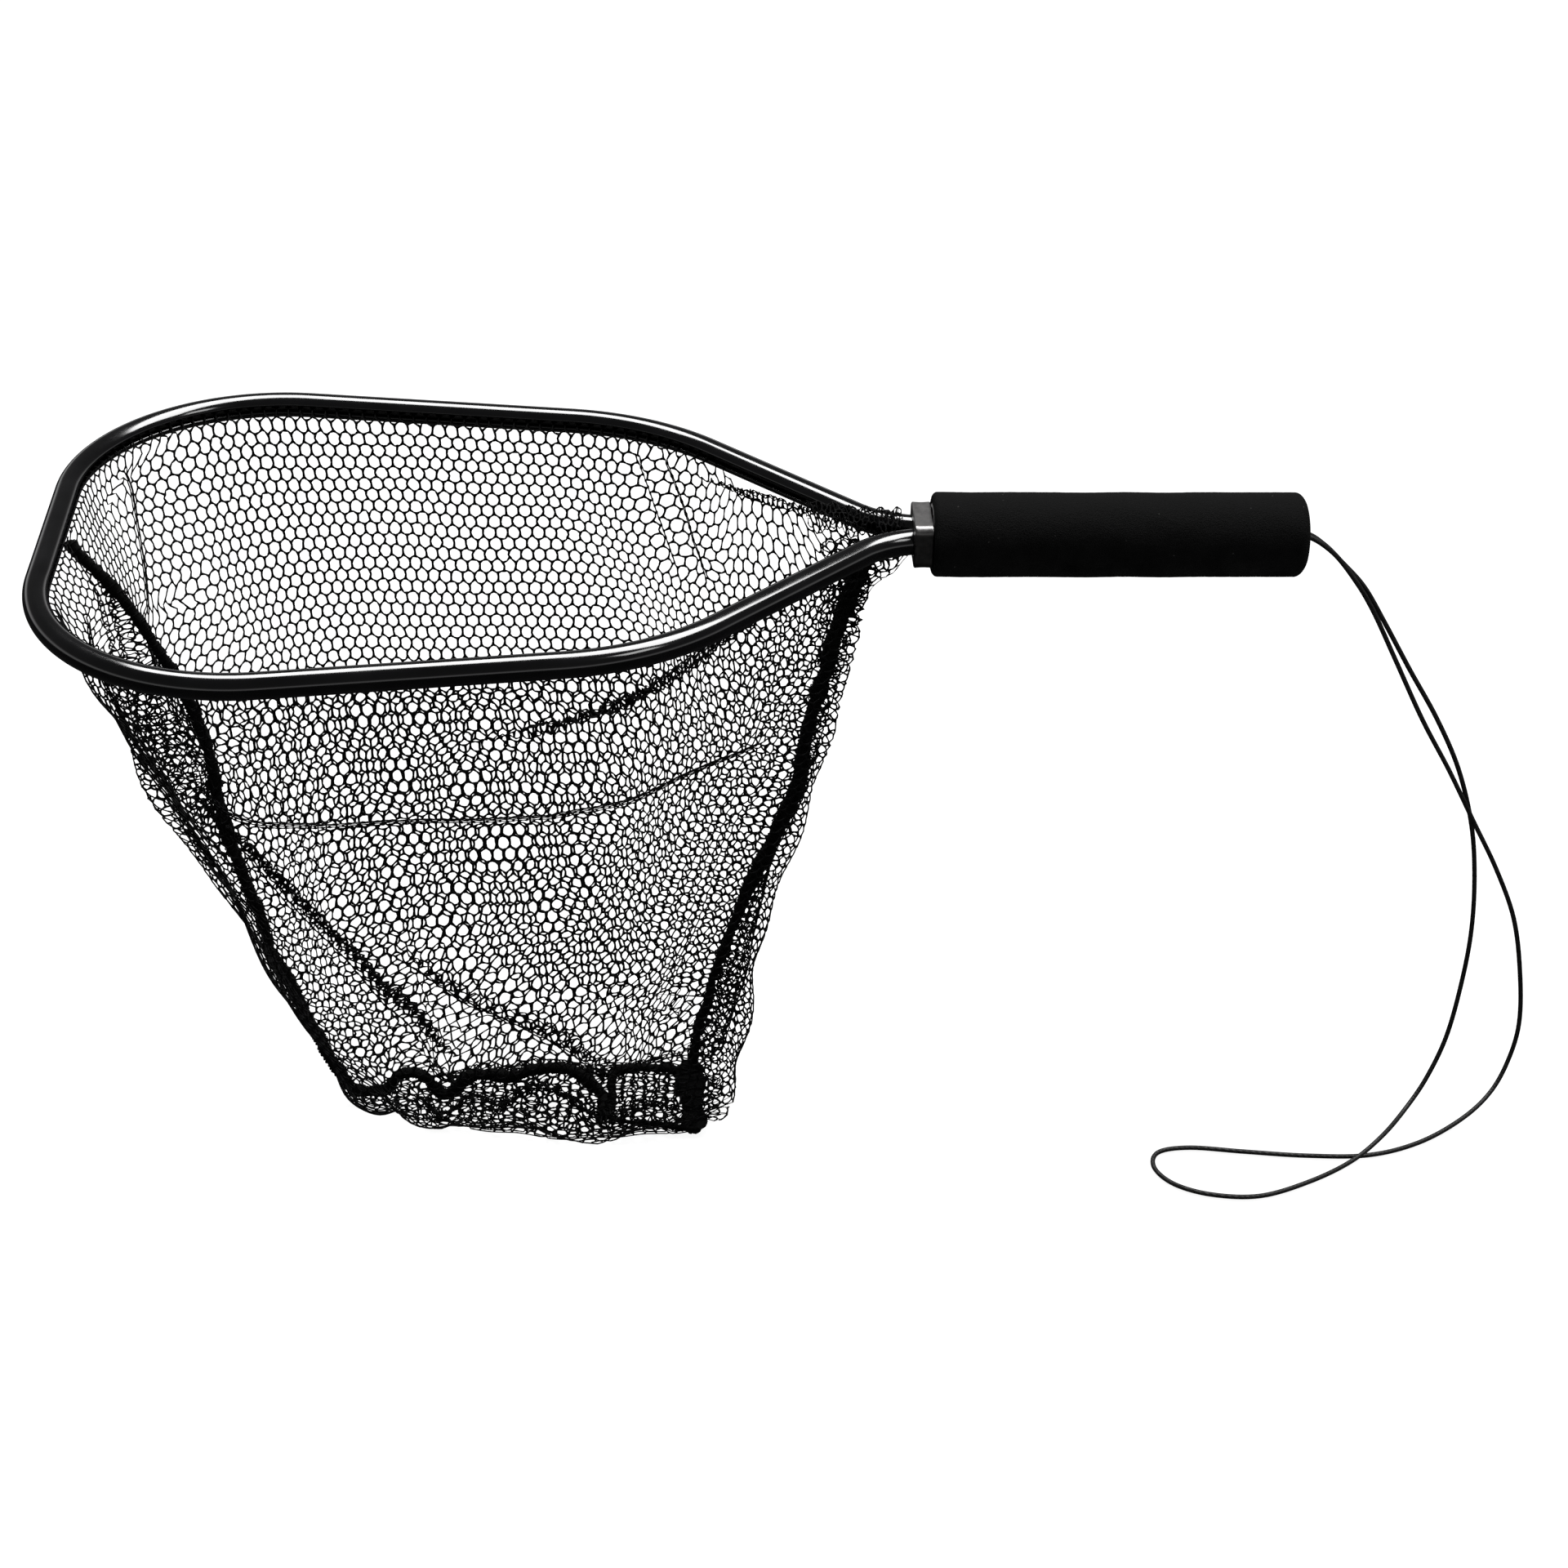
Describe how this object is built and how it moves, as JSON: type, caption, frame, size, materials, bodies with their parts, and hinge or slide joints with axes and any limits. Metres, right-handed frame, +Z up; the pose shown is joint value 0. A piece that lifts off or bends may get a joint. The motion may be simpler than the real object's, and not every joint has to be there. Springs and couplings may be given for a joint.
{
  "type": "landing net",
  "caption": "Hand-held wading landing net: teardrop hoop of slotted tube, deep two-panel mesh bag, foam grip and a looped elastic lanyard.",
  "frame": {"origin": "middle of the foam grip, on the handle's axis", "axes": "+X along the handle from the hoop towards the butt, +Z up out of the hoop's mouth, the bag hangs towards -Z"},
  "size_m": [0.6049, 0.238, 0.2916],
  "materials": {
    "anodised_tube": "satin",
    "hem_rope": "matte",
    "netting": "matte",
    "seam_binding": "matte",
    "collar_metal": "satin",
    "bare_aluminium": "satin",
    "moulded_plastic": "matte",
    "pin_steel": "satin",
    "eva_foam": "matte",
    "elastic_cord": "satin"
  },
  "bodies": {
    "root": {"hoop_tube": "anodised_tube", "bolt_rope": "hem_rope", "near_net_panel": "netting", "far_net_panel": "netting", "tip_seam_binding": "seam_binding", "bottom_seam_binding": "seam_binding", "neck_seam_binding": "seam_binding", "neck_collar": "collar_metal", "handle_tube": "bare_aluminium", "tail_spacer": "moulded_plastic", "tail_pins": "pin_steel", "foam_grip": "eva_foam", "butt_plug": "moulded_plastic", "lanyard_knot": "elastic_cord", "lanyard_cord": "elastic_cord"}
  },
  "joints": []
}
